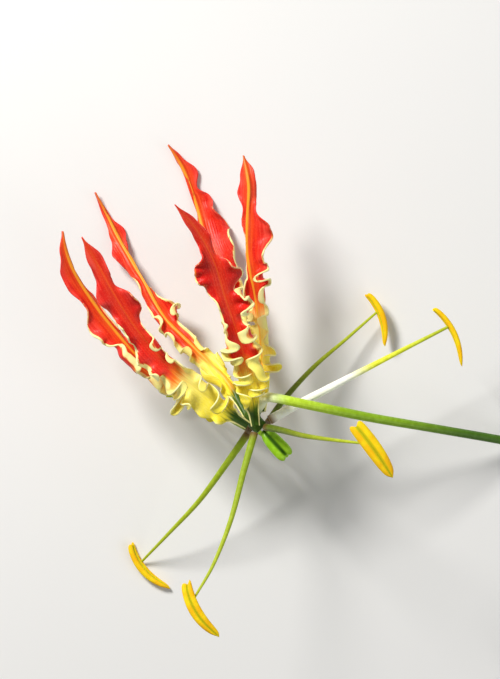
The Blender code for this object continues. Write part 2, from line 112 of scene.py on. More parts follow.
# Each tepal: the route of its midrib from claw to tip, its roll in degrees at even steps (0 turns
# the inner face up), the fold of its two halves towards the inner face, the face that it shows, and
# its two margins as seen in the picture. A margin is a list of crests: the share of the length,
# how far the margin reaches from the midrib, and how far it curls towards the inner face in degrees.
# The red begins at the share of the length given as red_from.
TEPALS = {
    "tepal_left_low": dict(
        shows="outer",
        route=[(-2.6, 0.3, -0.6), (-8, 2.2, -1.2), (-15, 5.2, -0.8), (-22.3, 11.2, 0), (-29.1, 19, 1),
               (-35.0, 27.3, 3), (-38.0, 33.4, 5), (-38.9, 38.6, 6.5)],
        roll=[-60, -90, -130, -150, -160, -160, -155],
        red_from=0.4,
        fold=14,
        left=[(0.04, 1.2, 10), (0.1, 2.2, -50), (0.15, 2.6, 90), (0.2, 3.4, -60), (0.25, 3.6, 70),
              (0.29, 2.4, -100), (0.34, 3.6, 40), (0.4, 2.2, -100), (0.44, 4.0, 60), (0.49, 5.0, -10),
              (0.53, 2.4, -90), (0.6, 4.0, 20), (0.66, 2.9, 60), (0.72, 2.0, -70), (0.8, 2.6, 10),
              (0.85, 2.1, 50), (0.92, 1.3, -20)],
        right=[(0.05, 1.0, 10), (0.15, 2.2, 60), (0.25, 2.4, -70), (0.35, 2.0, 80), (0.45, 1.6, -80),
               (0.55, 1.4, 80), (0.65, 1.0, -80), (0.72, 1.2, 70), (0.79, 0.6, -60), (0.9, 0.5, 30)],
    ),
    "tepal_left_front": dict(
        shows="inner",
        route=[(-2.0, 0.0, 1.9), (-7, 3.4, 4.4), (-12.5, 7.6, 6), (-18.8, 13, 8), (-24.2, 19.4, 10),
               (-28.2, 25.6, 12), (-31.3, 31.4, 13.8), (-34.6, 37.1, 15.5)],
        roll=[-25, -20, -15, -10, 0, 0, -10],
        red_from=0.38,
        fold=10,
        left=[(0.05, 1.0, 20), (0.12, 2.6, -60), (0.19, 3.6, 110), (0.26, 3.4, -90), (0.33, 3.8, 115),
              (0.4, 3.0, -90), (0.47, 3.8, 100), (0.54, 2.6, -90), (0.61, 2.0, 110), (0.68, 2.6, -60),
              (0.76, 3.4, 20), (0.83, 1.8, -60), (0.9, 1.4, 20)],
        right=[(0.05, 1.0, 20), (0.12, 2.4, -60), (0.2, 2.8, 115), (0.28, 2.4, -95), (0.36, 2.0, 110),
               (0.44, 1.4, -90), (0.52, 1.6, 100), (0.59, 1.4, -100), (0.66, 3.5, -20), (0.72, 2.9, 60),
               (0.78, 1.1, -80), (0.84, 1.2, 50), (0.9, 1.7, -10)],
    ),
    "tepal_left_back": dict(
        shows="outer",
        route=[(-2.0, 1.6, -2.1), (-6, 8.2, -5), (-13.2, 15.6, -9), (-19, 21.4, -12.2), (-23.5, 29, -15),
               (-28.2, 36.8, -18.2), (-31.2, 42.6, -19.7), (-33.4, 47.2, -18.8)],
        roll=[-160, -165, -170, -165, -160, -155, -160],
        red_from=0.31,
        fold=14,
        left=[(0.05, 0.9, 10), (0.13, 1.8, 60), (0.2, 3.4, -40), (0.27, 1.7, 100), (0.34, 2.6, -50),
              (0.42, 2.0, 90), (0.5, 2.0, -80), (0.57, 1.0, 95), (0.63, 1.5, -30), (0.69, 1.1, 85),
              (0.76, 2.9, -10), (0.82, 1.0, 60), (0.9, 0.7, -30)],
        right=[(0.05, 0.9, 10), (0.15, 1.1, -60), (0.24, 2.6, 60), (0.3, 1.4, -90), (0.36, 2.0, 80),
               (0.43, 1.8, -60), (0.5, 4.0, 20), (0.57, 1.2, 60), (0.63, 0.25, -60), (0.73, 0.25, 60),
               (0.79, 1.3, -60), (0.84, 2.6, 0), (0.9, 1.0, 20)],
    ),
    "tepal_right_back": dict(
        shows="outer",
        route=[(0.1, 2.3, -2.2), (-2.2, 9.6, -5.2), (-3.6, 17, -9.4), (-5.6, 25.6, -13.2), (-9, 34.2, -16.6),
               (-11, 39.8, -18.6), (-12.2, 44.3, -19.6), (-15.1, 52.1, -19.6), (-18.3, 57, -18.4)],
        roll=[170, 170, 170, 165, 160, 160, 165],
        red_from=0.35,
        fold=14,
        left=[(0.05, 0.9, 10), (0.15, 2.0, 50), (0.25, 2.4, -70), (0.35, 2.6, 80), (0.45, 2.4, -70),
              (0.55, 2.2, 80), (0.65, 1.3, -80), (0.74, 0.8, 60), (0.82, 0.7, -60), (0.9, 0.7, 30)],
        right=[(0.05, 0.9, 10), (0.14, 1.4, -60), (0.22, 2.4, 80), (0.3, 2.6, -70), (0.38, 3.0, 80),
               (0.46, 3.2, -70), (0.54, 3.0, 70), (0.6, 5.1, -20), (0.65, 4.4, 60), (0.7, 3.9, 80),
               (0.745, 3.5, -30), (0.79, 2.6, 80), (0.83, 1.3, -50), (0.88, 2.5, 0), (0.94, 0.9, -20)],
    ),
    "tepal_front": dict(
        shows="inner",
        route=[(-0.5, -0.1, 2.7), (-1.4, 6.4, 4.3), (-2.2, 11.6, 6), (-4, 18, 8.4), (-6.6, 25.6, 11),
               (-8.8, 32.6, 13.6), (-12.2, 38.8, 16), (-16.2, 43.4, 18.2)],
        roll=[0, 5, 5, 5, 0, 5, 5],
        red_from=0.29,
        fold=10,
        left=[(0.04, 1.0, 10), (0.1, 1.6, 60), (0.16, 2.6, -60), (0.22, 2.8, 115), (0.28, 2.4, -80),
              (0.34, 4.0, 60), (0.41, 2.2, -90), (0.48, 1.9, 100), (0.54, 1.8, -60), (0.6, 3.2, -60),
              (0.66, 4.7, -45), (0.71, 4.2, -45), (0.76, 1.5, 100), (0.82, 1.4, -60), (0.9, 1.0, 30)],
        right=[(0.04, 1.0, 10), (0.1, 1.4, -60), (0.16, 2.4, 100), (0.22, 4.0, -60), (0.28, 3.6, 110),
               (0.34, 3.2, -80), (0.4, 2.2, 110), (0.45, 2.0, -80), (0.51, 4.7, 30), (0.57, 2.2, -90),
               (0.64, 5.0, -10), (0.69, 2.9, 50), (0.745, 0.9, -70), (0.82, 1.6, 20), (0.9, 1.1, 0)],
    ),
    "tepal_right": dict(
        shows="outer",
        route=[(1, 2.6, -0.8), (1.5, 8.2, -1.8), (1.2, 16, -2.4), (0, 25, -1.8), (-1.8, 34, -0.6),
               (-1.9, 41.4, 0.6), (-1.7, 48, 1.4), (-2.8, 53.8, 0.2)],
        roll=[110, 115, 130, 145, 160, 165, 165],
        red_from=0.4,
        fold=12,
        left=[(0.05, 0.9, 10), (0.14, 1.6, 60), (0.22, 2.2, -70), (0.3, 2.4, 90), (0.38, 2.4, -80),
              (0.46, 2.4, 90), (0.54, 1.2, -80), (0.61, 0.6, 80), (0.67, 0.5, -80), (0.74, 1.5, 60),
              (0.79, 1.1, -70), (0.85, 2.6, 0), (0.92, 1.7, 20)],
        right=[(0.05, 0.9, 10), (0.12, 2.0, -60), (0.19, 2.8, 90), (0.26, 2.6, -80), (0.33, 2.7, 90),
               (0.4, 2.5, -80), (0.46, 3.0, 80), (0.52, 3.8, -60), (0.57, 2.4, 100), (0.62, 4.2, -40),
               (0.68, 4.9, 20), (0.73, 4.7, -10), (0.79, 1.8, -80), (0.85, 1.1, 60), (0.93, 1.4, 0)],
    ),
}

# The anthers: how far their sacs lie apart for their radius, how deep the notches at their two ends are,
# the gap to the filament, and the number of steps round and along them.
SAC_APART = 0.9
LOWER_NOTCH = 1.3
UPPER_NOTCH = 0.5
ANTHER_GAP = 0.1
ANTHER_STEPS = (56, 64)

# Each stamen: the shade of its filament, its route from the heart and its radius at root and tip, then
# the way that its anther lies, the anther's length, the share of it at which it hangs, the way that
# its middle bows and by how much, its turn about its length in degrees, and the radius of a sac.
# Of the filament shades, green is a filament's own colour. Olive is a darker copy of it, painted shade for
# the filaments that lie in shadow, and pale is a whitened copy, a painted highlight for the one in the
# strongest light.
STAMENS = {
    "left": dict(
        shade="green",
        route=[(-1.9, -1.5, -1.4), (-6, -7.4, -4), (-11.8, -15.4, -8.4), (-18, -22.2, -13.2),
               (-23.7, -28.3, -19.15)],
        lie=(8.0, -9.4, 0.0),
        length=12.2,
        hang=0.38,
        bows=(-0.76, -0.65, 0.0),
        sag=1.6,
        turn=35,
        girth=0.62,
        root=0.78,
        tip=0.24,
    ),
    "lower": dict(
        shade="green",
        route=[(-0.75, -1.6, 2.0), (-2.9, -9.2, 5), (-5.4, -18.6, 9), (-8.8, -27.2, 12),
               (-12.5, -33.6, 13.8)],
        lie=(6.4, -10.9, 1.0),
        length=12.6,
        hang=0.31,
        bows=(-0.7, -0.4, 0.6),
        sag=1.7,
        turn=-53,
        girth=0.68,
        root=0.78,
        tip=0.24,
    ),
    "front": dict(
        shade="shaded",
        route=[(1.6, -0.4, 2.6), (4.4, -0.8, 8), (9.2, -1.8, 16), (15.2, -2.5, 22.5), (20.6, -3.0, 27.4)],
        lie=(7.2, -10, 0),
        length=12.7,
        hang=0.37,
        bows=(0.5, 0.36, 0.79),
        sag=0.4,
        turn=38,
        girth=0.9,
        root=0.76,
        tip=0.24,
    ),
    "right": dict(
        shade="pale",
        route=[(2.3, 1.0, 0.4), (7, 3.6, 0), (16, 8.3, -0.6), (27, 14, -1), (38.0, 19.6, -1)],
        lie=(5.6, -11.2, 0),
        length=12.9,
        hang=0.39,
        bows=(0.89, 0.45, 0),
        sag=1.5,
        turn=-15,
        girth=0.52,
        root=0.96,
        tip=0.3,
    ),
    "back": dict(
        shade="shaded",
        route=[(1.9, 0.4, -2.0), (5.4, 5.2, -6), (11.4, 11.6, -11), (18, 17.2, -15), (24.2, 22.6, -17.2)],
        lie=(3.8, -10.6, 0),
        length=11.3,
        hang=0.41,
        bows=(0.94, 0.34, 0),
        sag=1.4,
        turn=-30,
        girth=0.58,
        root=0.68,
        tip=0.24,
    ),
    "under": dict(
        shade="green",
        route=[(-1.6, -0.9, -3.2), (-6, 1.4, -7.8), (-12, 5.6, -12), (-17.4, 9.6, -14.8),
               (-21.4, 12.6, -16)],
        lie=(-8.6, 8.4, 0.3),
        length=12.0,
        hang=0.36,
        bows=(-0.35, -0.3, -0.9),
        sag=1.1,
        turn=0,
        girth=0.62,
        root=0.76,
        tip=0.24,
    ),
}

# The stalk's route from the heart to its cut end and its radii at even steps, and the style's route
# from the ovary.
STALK_ROUTE = [(0.7, -0.75, 0), (-0.9, 1.0, -0.1), (-1.0, 2.6, 0.4), (0.4, 4.3, 1.8), (1.7, 5.5, 3.8),
               (3.8, 5.4, 5.4), (9.5, 4.2, 4.4), (21.8, 1.6, -1.2), (34.1, -0.6, -7.4), (46.4, -2.8, -14),
               (56, -4.6, -18.95), (63, -5.8, -19.45)]
STALK_RADII = (1.5, 1.62, 1.0, *[0.95] * 5, 0.92, 0.9, 0.9, *[0.88] * 10)
STYLE_ROUTE = [(5.4, -5.9, -2.4), (5.0, -5.6, -4.8), (3.2, -4.2, -8.4), (-0.6, -1, -11.4), (-5.6, 2, -13.4),
               (-10.4, 4.4, -15), (-14.6, 6.2, -15.8)]

# The ovary: how far its foot is from the heart, how far its lobes lie from its middle, their radius and
# how deep they are parted at their tips, and the number of steps round and along it.
OVARY_FROM_HEART = 1.45
OVARY_LOBES_OUT = 0.92
OVARY_LOBE_RADIUS = 0.98
OVARY_NOTCH = 1.5
OVARY_STEPS = (96, 64)

# The stigma's arms: their radii from foot to tip, the angle between two of them in degrees, how far the
# middle one rises and the outer ones bow, and how far they begin inside the style.
STIGMA_RADII = (0.32, 0.32, 0.22)
STIGMA_SPREAD = 32.0
STIGMA_RISE = 0.5
STIGMA_BOW = 0.3
STIGMA_SUNK = 0.7

# The points along a filament or the style, along an arm of the stigma and along the stalk.
STEM_POINTS = 90
ARM_POINTS = 24
STALK_POINTS = 160

# How near two corners of a stem are merged, in metres, and the angle up to which its faces are smooth.
MERGED_WITHIN = 1e-6
SMOOTH_ANGLE = math.radians(50)

# The place of the camera over the heart, and how many picture points make a millimetre there.
CAMERA_AWAY = 800.0
CAMERA_ASIDE = (-1.6, 17.1)
PICTURE_HIGH = 679
POINTS_PER_MM = 5.0
SENSOR_HIGH = 24.0
NEAREST_SEEN = 0.01
FURTHEST_SEEN = 20.0

# The gap under the bloom to the surface in metres, the share of its light that its faint clouds keep,
# and the strength of the sky's light.
FLOOR_GAP = 0.00005
FLOOR_CLOUDS = 0.97
SKY_STRENGTH = 0.22


def unit(vector):
    """The same direction with a length of one."""
    vector = np.asarray(vector, float)
    return vector / np.linalg.norm(vector, axis=-1, keepdims=True)


def smooth_route(points, shares):
    """A rounded curve through the points, at these shares of its length."""
    points = np.array(points, float)
    padded = np.vstack([2 * points[0] - points[1], points, 2 * points[-1] - points[-2]])
    steps = np.linspace(0, 1, 24, endpoint=False)[:, None]
    fine = []
    for before, start, end, after in zip(padded, padded[1:], padded[2:], padded[3:]):
        fine.append(
            0.5 * (2 * start + (end - before) * steps
                   + (2 * before - 5 * start + 4 * end - after) * steps**2
                   + (3 * start - before - 3 * end + after) * steps**3)
        )
    fine = np.vstack(fine + [points[-1:]])
    along = np.concatenate([[0], np.cumsum(np.linalg.norm(np.diff(fine, axis=0), axis=1))])
    wanted = np.asarray(shares) * along[-1]
    return np.stack([np.interp(wanted, along, fine[:, k]) for k in range(3)], axis=1)


def route_length(points):
    """The length of the rounded curve through the points."""
    fine = smooth_route(points, np.linspace(0, 1, 60))
    return np.linalg.norm(np.diff(fine, axis=0), axis=1).sum()


def eased(positions, values, shares):
    """Values joined by half cosines, so that each is a crest or a trough."""
    place = np.interp(shares, positions, np.arange(len(positions)))
    low = np.clip(np.floor(place).astype(int), 0, len(positions) - 2)
    mix = 0.5 - 0.5 * np.cos(np.pi * (place - low))
    values = np.asarray(values, float)
    return values[low] * (1 - mix) + values[low + 1] * mix


def settled(values, passes):
    """Values smoothed along their length, so that no kink is left in them."""
    for _ in range(passes):
        values[1:-1] = 0.25 * values[:-2] + 0.5 * values[1:-1] + 0.25 * values[2:]
    return values


def ruffles(shares, start, lean, strength):
    """The close waves of a margin, strong over the lower half and fading above it.

    It gives their strength, their curl in degrees, and how far each point of the margin is drawn
    along the blade, which widens every crest into a round loop.
    """
    zone = np.interp(shares, RUFFLE_SHARES, RUFFLE_FORCES)
    slow = RUFFLE_DRIFT * np.sin(2 * math.pi * (SLOW_DRIFTS * shares + start))
    quick = 0.5 * RUFFLE_DRIFT * np.sin(2 * math.pi * (QUICK_DRIFTS * shares + QUICK_START * start))
    drift = slow + quick
    phase = 2 * math.pi * (RUFFLE_TURNS * shares + drift + start)
    rounding = -RUFFLE_ROUNDING * zone * np.sin(2 * phase)
    return zone, strength * zone * (RUFFLE_CURL * np.sin(phase) + lean), rounding


def margin_profile(crests, shares, fold, start, lean, strength):
    """A margin's breadth, its curl in radians and its rounding, at each share of the blade's length."""
    ends = [(0, CLAW_REACH, 0)] + list(crests) + [(1, TIP_REACH, 0)]
    places, reaches, curls = (np.array(column, float) for column in zip(*ends))
    reach = eased(places, reaches, shares)
    zone, close, rounding = ruffles(shares, start, lean, strength)
    curl = np.radians(strength * (1 - CURL_TAKEN * zone) * eased(places, curls, shares) + close)
    steps = np.linspace(0, 1, CURL_STEPS + 1)
    middles = 0.5 * (steps[1:] + steps[:-1])
    turn = fold[:, None] * (1 - middles) + curl[:, None] * middles**CURL_POWER
    furthest = np.cumsum(np.cos(turn) / CURL_STEPS, axis=1).max(axis=1)
    breadth = settled(np.minimum(reach / furthest, MOST_BREADTH), BREADTH_PASSES)
    return breadth, curl, rounding


def tepal_surface(shape, seed, rows, columns, strength):
    """The inner face of a tepal as rows of points, with how far each is along and across the blade."""
    shares = np.linspace(0, 1, rows + 1)
    middle = settled(smooth_route(shape["route"], shares), MIDRIB_PASSES)
    along = unit(np.gradient(middle, axis=0))
    face_up = unit(UP - (along @ UP)[:, None] * along)
    rightward = np.cross(along, face_up)
    even_steps = np.linspace(0, 1, len(shape["roll"]))
    roll = np.radians(np.interp(shares, even_steps, shape["roll"]))[:, None]
    inner = np.cos(roll) * face_up + np.sin(roll) * rightward
    across = np.cross(along, inner)
    fold = np.radians(np.interp(shares, [CLAW_ENDS, BLADE_BEGINS], [CLAW_FOLD, shape["fold"]]))
    half = columns // 2
    steps = np.linspace(0, 1, half + 1)
    surface = np.zeros((rows + 1, columns + 1, 3))
    breadths = np.zeros((rows + 1, columns + 1))
    surface[:, half] = middle
    seen = 1 if shape["shows"] == "inner" else -1
    for side, crests in ((-seen, shape["left"]), (seen, shape["right"])):
        start = TEPAL_START * seed + SIDE_START * side
        breadth, curl, rounding = margin_profile(crests, shares, fold, start, seen * RUFFLE_LEAN, strength)
        aside = np.zeros(rows + 1)
        raised = np.zeros(rows + 1)
        for step in range(1, half + 1):
            centre = 0.5 * (steps[step - 1] + steps[step])
            turn = fold * (1 - centre) + curl * centre**CURL_POWER
            aside += breadth / half * np.cos(turn)
            raised += breadth / half * np.sin(turn)
            drawn = (rounding * steps[step] ** 2)[:, None] * along
            outward = side * aside[:, None] * across
            column = half + side * step
            surface[:, column] = middle + outward + raised[:, None] * inner + drawn
            breadths[:, column] = breadth * steps[step]
    return surface, breadths


def in_scene(points):
    """Points in millimetres from the heart, as metres from the origin."""
    return (np.asarray(points) + HEART) * MM


def deselect():
    """Leaves nothing selected, because an operator acts on all that is."""
    for chosen in bpy.context.selected_objects:
        chosen.select_set(False)


def stored(mesh, name, values):
    """Keeps a number with each corner of the mesh, for its material to read."""
    held = mesh.attributes.new(name, "FLOAT", "POINT")
    held.data.foreach_set("value", np.asarray(values, np.float32).ravel())


def pressed(mesh):
    """Where a piece lies on the surface, it is pressed flat against it."""
    for corner in mesh.vertices:
        corner.co.z = max(corner.co.z, 0.0)


def finished(piece, name, node, materials):
    """Names the piece, gives it its materials, presses it flat, hangs it under the root body and hides the
    solid that it stands for.
    """
    piece.name = name
    piece.data.name = name
    for material in materials:
        piece.data.materials.append(material)
    pressed(piece.data)
    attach(piece, "root")
    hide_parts(node)
    deselect()
    return piece


class Signal:
    """A value or a colour on its way through a material's nodes, so that sums read as sums."""

    def __init__(self, tree, socket):
        self.tree = tree
        self.socket = socket

    def add(self, kind, settings=None, inputs=None, output=0):
        """Adds any node: its type, its settings first, then its inputs."""
        node = self.tree.nodes.new(kind)
        for name, value in (settings or {}).items():
            setattr(node, name, value)
        for name, value in (inputs or {}).items():
            if isinstance(value, Signal):
                self.tree.links.new(value.socket, node.inputs[name])
            else:
                node.inputs[name].default_value = value
        return Signal(self.tree, node.outputs[output])

    def maths(self, operation, first, second=0.0):
        return self.add("ShaderNodeMath", {"operation": operation}, {0: first, 1: second})

    def __add__(self, other):
        return self.maths("ADD", self, other)

    __radd__ = __add__

    def __sub__(self, other):
        return self.maths("SUBTRACT", self, other)

    def __rsub__(self, other):
        return self.maths("SUBTRACT", other, self)

    def __mul__(self, other):
        return self.maths("MULTIPLY", self, other)

    __rmul__ = __mul__

    def __abs__(self):
        return self.maths("ABSOLUTE", self)

    def sine(self):
        return self.maths("SINE", self)

    def between(self, low, high, to_low=0.0, to_high=1.0):
        """A soft step from one value to another as this goes from low to high."""
        return self.add(
            "ShaderNodeMapRange",
            {"interpolation_type": "SMOOTHSTEP"},
            {"Value": self, "From Min": low, "From Max": high, "To Min": to_low, "To Max": to_high},
        )

    def mix(self, first, second):
        """The first colour where this is 0 and the second where it is 1."""
        return self.add("ShaderNodeMix", {"data_type": "RGBA"}, {0: self, 6: first, 7: second}, 2)


def new_material(name, roughness, **constants):
    """A material with its shader, and the signal that its nodes start from."""
    material = bpy.data.materials.new(name)
    material.use_nodes = True
    tree = material.node_tree
    shader = tree.nodes["Principled BSDF"]
    shader.inputs["Roughness"].default_value = roughness
    for key, value in constants.items():
        shader.inputs[key.replace("_", " ")].default_value = value
    return material, shader, Signal(tree, None)


def attribute(start, name):
    """A number that the mesh keeps with each of its corners."""
    return start.add("ShaderNodeAttribute", {"attribute_name": name}, None, 2)


def noise(start, place, scale, detail=3.0, stretch=(1, 1, 1)):
    """Soft noise about 0.5 at this place, finer as the scale grows and as it is stretched."""
    stretched = start.add("ShaderNodeMapping", None, {"Vector": place, "Scale": stretch})
    return start.add("ShaderNodeTexNoise", None, {"Vector": stretched, "Scale": scale, "Detail": detail})


def object_place(start):
    """The place on the piece, in metres."""
    return start.add("ShaderNodeTexCoord", output=3)


def bumped(start, shader, height, strength, distance):
    """Raises the surface with the height, over a distance in metres."""
    bump = start.add("ShaderNodeBump", None, {"Strength": strength, "Distance": distance, "Height": height})
    start.tree.links.new(bump.socket, shader.inputs["Normal"])


def linked(start, value, shader, name):
    """Gives the shader's input this value."""
    start.tree.links.new(value.socket, shader.inputs[name])


def blade_place(start):
    """A place on the blade laid flat, in millimetres across and along, apart for each tepal."""
    parts = {
        "X": attribute(start, "across_mm"),
        "Y": attribute(start, "along_mm"),
        "Z": attribute(start, "seed"),
    }
    return start.add("ShaderNodeCombineXYZ", None, parts)


def tepal_material(name, finish, outer):
    """The satin skin of a tepal: scarlet above, yellow towards the claw and along its margins."""
    material, shader, start = new_material(name, 0.38, Specular_IOR_Level=0.2)
    place = blade_place(start)
    along = attribute(start, "along")
    edge = attribute(start, "edge")
    across = attribute(start, "across_mm")
    broad = noise(start, place, 0.16, 2.0, (1, 0.5, 1)) - 0.5
    streaks = noise(start, place, 1.0, 3.0, (2.6, 0.16, 1)) - 0.5
    fine = noise(start, place, 3.0, 4.0, (2.2, 0.3, 1)) - 0.5
    flecks = noise(start, place, 4.5, 5.0, (1.6, 0.7, 1)).between(0.5, 0.68)
    level = along + 0.16 * broad + 0.1 * streaks
    from_claw = (level - attribute(start, "red_from")).between(-0.09, 0.09)
    band = along.between(0.25, 0.66, 0.6, 0.07) + along.between(0.66, 0.9, 0.0, -0.06)
    inside = (edge + 0.24 * streaks + 0.1 * fine).between(1 - band, 1.0 - 0.55 * band)
    red = from_claw * (1 - inside * along.between(0.64, 0.76, 1.0, 0.0))
    deep = (streaks + 0.5 * broad + 0.5).between(0.25, 0.85)
    reds = deep.mix((*finish.red_deep, 1), (*(finish.scarlet if outer else finish.red), 1))
    reds = (0.45 * along.between(0.75, 1.0)).mix(reds, (*finish.red_tip, 1))
    golden = along.between(0.1, 0.5)
    yellows = golden.mix((*finish.yellow, 1), (*finish.cream, 1))
    yellows = (fine + 0.5).between(0.4, 1.1).mix(yellows, (*finish.cream, 1))
    orange = (4.0 * red * (1 - red)).mix(yellows, (*finish.orange, 1))
    # Painted sheen: rosy patches near the margins stand for light glancing off the satin skin.
    painted_sheen = (edge + 1.6 * broad).between(0.45, 1.0) * (streaks + 0.5).between(0.2, 0.8)
    reds = (0.5 * painted_sheen).mix(reds, (*finish.pink_sheen, 1))
    reds = (0.32 * flecks).mix(reds, (*finish.fleck, 1))
    colour = red.between(0.35, 0.8).mix(orange, reds)
    beside = (1 - abs(across).between(0.3, 1.9)) * (streaks + 0.5).between(0.1, 0.7)
    colour = (beside * red * (0.3 if outer else 0.12)).mix(colour, (*finish.orange, 1))
    rib = 1 - abs(across).between(0.06, 0.24)
    ribbed = rib * (0.85 if outer else 0.1) * along.between(0.86, 1.0, 1.0, 0.3)
    colour = ribbed.mix(colour, (*finish.rib, 1))
    green = 1 - level.between(0.06, 0.115)
    rim = (edge + 0.1 * fine).between(0.72, 0.9)
    colour = (green * (1 - rim)).mix(colour, (*finish.claw, 1))
    colour = (green * rim).mix(colour, (*finish.cream, 1))
    linked(start, colour, shader, "Base Color")
    linked(start, (fine + 0.5).between(0.1, 0.9, 0.3, 0.46), shader, "Roughness")
    veins = (across * 13.0 + 1.4 * streaks).sine() * (1 - edge.between(0.7, 1.0))
    bumped(start, shader, 0.5 * veins + 1.2 * fine + 1.6 * streaks, 0.32, 0.00008)
    return material


def edge_material(finish):
    """The rim of a tepal, cream over its lower part and red above."""
    material, shader, start = new_material("tepal_rim", 0.42)
    along = attribute(start, "along")
    speckle = noise(start, blade_place(start), 2.0) - 0.5
    upper = (along + 0.2 * speckle).between(0.6, 0.76)
    linked(start, upper.mix((*finish.cream, 1), (*finish.red, 1)), shader, "Base Color")
    bumped(start, shader, speckle, 0.2, 0.00005)
    return material


def rod_material(name, shades, roughness, crease_shade=None):
    """The moist skin of a stem or of the ovary, with fine ridges.

    Its shades are pairs of a share of its length and a colour, and the optional last colour is painted shade
    darkening the seams between lobes.
    """
    material, shader, start = new_material(name, roughness, Specular_IOR_Level=0.22)
    place = object_place(start)
    speckle = noise(start, place, 1100.0, 3.0) - 0.5
    cloud = noise(start, place, 160.0, 2.0) - 0.5
    wandering = attribute(start, "along") + 0.03 * cloud
    colour = (*shades[0][1], 1)
    for (low, _), (high, shade) in zip(shades, shades[1:]):
        colour = wandering.between(low, high).mix(colour, (*shade, 1))
    brighter = {"Value": 1.25, "Saturation": 0.96, "Color": colour}
    pale = start.add("ShaderNodeHueSaturation", None, brighter)
    colour = (speckle + 0.5).between(0.35, 0.8).mix(colour, pale)
    if crease_shade:
        # Painted shade darkens the seams between the lobes.
        colour = attribute(start, "seam").between(0.62, 0.99).mix(colour, (*crease_shade, 1))
    linked(start, colour, shader, "Base Color")
    ridges = (attribute(start, "round") * 12.0 + 1.2 * cloud).sine()
    bumped(start, shader, 0.6 * ridges + 0.8 * speckle, 0.22, 0.00008)
    return material


def anther_material(finish):
    """Pollen sacs covered with golden grains, with a greenish strip down the back between them."""
    material, shader, start = new_material("anther", 0.66, Specular_IOR_Level=0.15)
    place = object_place(start)
    grains = start.add("ShaderNodeTexVoronoi", None, {"Vector": place, "Scale": 5200.0})
    cloud = noise(start, place, 420.0, 3.0)
    strip = attribute(start, "seam").between(0.7, 0.9)
    slit = attribute(start, "seam").between(0.97, 1.0)
    colour = cloud.between(0.35, 0.68).mix((*finish.anther_deep_and_shade, 1), (*finish.anther, 1))
    # Painted shade: the pollen darkens in the hollows between the raised grains.
    colour = (0.4 * grains.between(0.3, 0.9)).mix(colour, (*finish.anther_deep_and_shade, 1))
    colour = (0.75 * strip).mix(colour, (*finish.connective, 1))
    colour = (0.5 * slit).mix(colour, (*finish.slit, 1))
    linked(start, colour, shader, "Base Color")
    bumped(start, shader, 1 - grains + 0.6 * cloud, 0.5, 0.00012)
    return material


def build_tepal(name, shape, seed, settings, materials):
    """A fine grid bent into the ruffled blade, thick along the keel and thin at its margins."""
    rows, columns = settings.tepal_rows, settings.tepal_columns
    surface, breadths = tepal_surface(shape, seed, rows, columns, settings.curl)
    floor = settings.margin_thickness / MM - HEART[2]
    surface[..., 2] = np.maximum(surface[..., 2], floor)
    deselect()
    bpy.ops.mesh.primitive_grid_add(x_subdivisions=columns, y_subdivisions=rows, size=2)
    piece = bpy.context.object
    mesh = piece.data
    flat = np.zeros(len(mesh.vertices) * 3)
    mesh.vertices.foreach_get("co", flat)
    flat = flat.reshape(-1, 3)
    column = np.rint((flat[:, 0] + 1) / 2 * columns).astype(int)
    row = np.rint((flat[:, 1] + 1) / 2 * rows).astype(int)
    mesh.vertices.foreach_set("co", in_scene(surface[row, column]).ravel())
    share = row / rows
    aside = (column - columns / 2) / (columns / 2)
    stored(mesh, "along", share)
    stored(mesh, "along_mm", share * route_length(shape["route"]))
    stored(mesh, "edge", np.abs(aside))
    stored(mesh, "across_mm", breadths[row, column] * np.sign(aside))
    stored(mesh, "seed", np.full(len(share), PATTERN_APART * seed))
    stored(mesh, "red_from", np.full(len(share), shape["red_from"]))
    keel = np.exp(-(breadths[row, column] / KEEL_WIDTH) ** 2) * np.interp(share, KEEL_SHARES, KEEL_FULLNESS)
    body = np.interp(np.abs(aside), BODY_SHARES, BODY_FULLNESS)
    margin = settings.margin_thickness / settings.keel_thickness
    weights = np.clip(margin + body * (1 - margin) + keel * KEEL_ADDS, 0, 1)
    thick = piece.vertex_groups.new(name="thickness")
    for index, weight in enumerate(weights):
        thick.add([index], float(weight), "REPLACE")
    solidify = piece.modifiers.new("Thickness", "SOLIDIFY")
    solidify.thickness = settings.keel_thickness
    solidify.offset = -1
    solidify.vertex_group = "thickness"
    solidify.material_offset = 1
    solidify.material_offset_rim = 2
    for material in materials:
        mesh.materials.append(material)
    bpy.ops.object.modifier_apply(modifier=solidify.name)
    bpy.ops.object.shade_smooth()
    piece.vertex_groups.clear()
    return finished(piece, name + "_blade", name, [])


